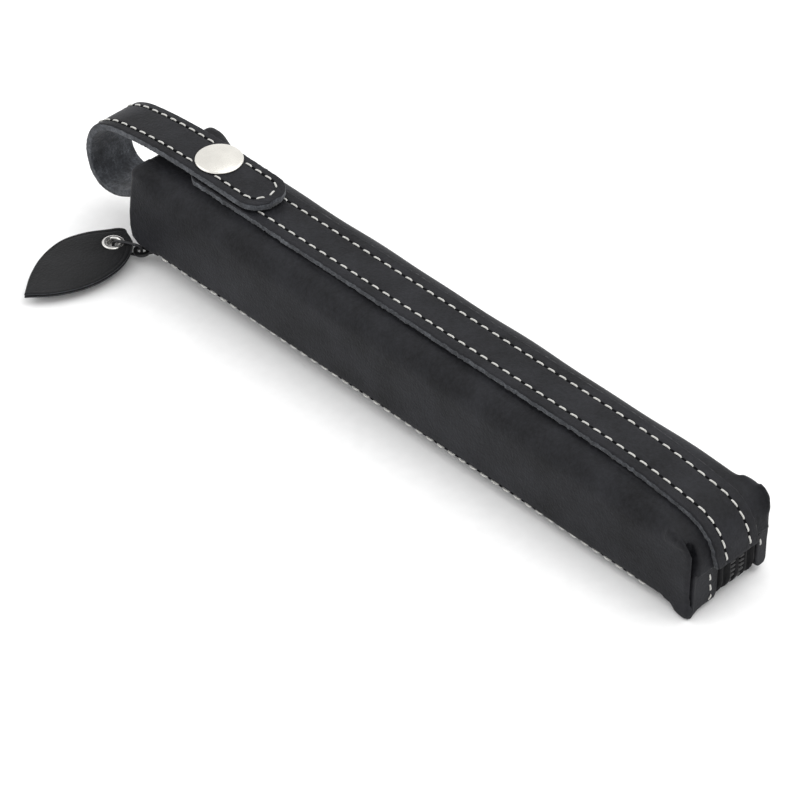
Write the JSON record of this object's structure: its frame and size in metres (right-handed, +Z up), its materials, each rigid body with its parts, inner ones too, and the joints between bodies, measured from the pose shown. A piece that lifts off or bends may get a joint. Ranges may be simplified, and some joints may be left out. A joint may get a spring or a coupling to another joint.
{
  "type": "fountain pen case",
  "caption": "Slim leather pen case with a stitched top strip, a zip along its underside, a strap loop that snaps closed at one end and a leaf-shaped leather zip pull.",
  "frame": {"origin": "middle of the case's length and width, on the plane of its zipped underside", "axes": "+X along the case towards its plain end, +Z up from the zipped underside to the stitched strip, +Y to the side away from the hanging leaf pull"},
  "size_m": [0.2265, 0.0612, 0.0363],
  "materials": {
    "nubuck": "matte charcoal nubuck",
    "thread": "waxed off-white thread",
    "tape": "woven black tape",
    "teeth": "black moulded",
    "snap_metal": "brushed nickel",
    "zip_metal": "satin nickel"
  },
  "bodies": {
    "case": {"body_leather": "nubuck", "top_strip": "nubuck", "strip_stitches_near": "thread", "strip_stitches_far": "thread", "edge_stitches_near": "thread", "edge_stitches_far": "thread", "strap_root": "nubuck", "strap_root_stitches": "thread", "snap_stud": "snap_metal", "snap_rivet": "snap_metal", "tape_margins": "tape", "tape_left_end": "tape", "tape_right_end": "tape", "teeth_left_end": "teeth", "teeth_right_end": "teeth", "top_stops": "zip_metal", "bottom_stop": "zip_metal"},
    "strap": {"strap_tongue": "nubuck", "strap_tongue_stitches": "thread", "snap_cap": "snap_metal", "snap_socket": "snap_metal"},
    "mouth_near": {"tape_near": "tape", "teeth_near": "teeth"},
    "mouth_far": {"tape_far": "tape", "teeth_far": "teeth"},
    "slider": {"slider_body": "zip_metal", "slider_bridge": "zip_metal"},
    "tab": {"pull_tab": "zip_metal"},
    "ring": {"pull_ring": "zip_metal"},
    "leaf": {"leaf_front": "nubuck", "leaf_back": "nubuck", "leaf_eyelet": "zip_metal"}
  },
  "joints": [
    {"name": "strap_unsnap", "type": "hinge", "parent": "case", "child": "strap", "pos_m": [-0.1239, -0.00065, 0.018], "axis": [0, -1, 0], "range_deg": [0, 110]},
    {"name": "slider_slide", "type": "slide", "parent": "case", "child": "slider", "axis": [1, 0, 0], "range_m": [0, 0.175]},
    {"name": "tab_swivel", "type": "hinge", "parent": "slider", "child": "tab", "pos_m": [-0.092, 0, -0.00235], "axis": [0, 0, 1], "range_deg": [-60, 60]},
    {"name": "ring_pitch", "type": "hinge", "parent": "tab", "child": "ring", "pos_m": [-0.10008, -0.01344, -0.00235], "axis": [0.4659, -0.8848, 0], "range_deg": [0, 60]},
    {"name": "leaf_swivel", "type": "hinge", "parent": "ring", "child": "leaf", "pos_m": [-0.1057, -0.0164, -0.00235], "axis": [0, 0, 1], "range_deg": [-60, 5]},
    {"name": "mouth_near_fold", "type": "hinge", "parent": "case", "child": "mouth_near", "pos_m": [0, -0.0096, 0.00175], "axis": [1, 0, 0], "range_deg": [0, 70]},
    {"name": "mouth_far_fold", "type": "hinge", "parent": "case", "child": "mouth_far", "pos_m": [0, 0.0096, 0.00175], "axis": [1, 0, 0], "range_deg": [-70, 0]}
  ],
  "couplings": [
    {"joint": "mouth_far_fold", "follows": "mouth_near_fold", "ratio": -1}
  ]
}
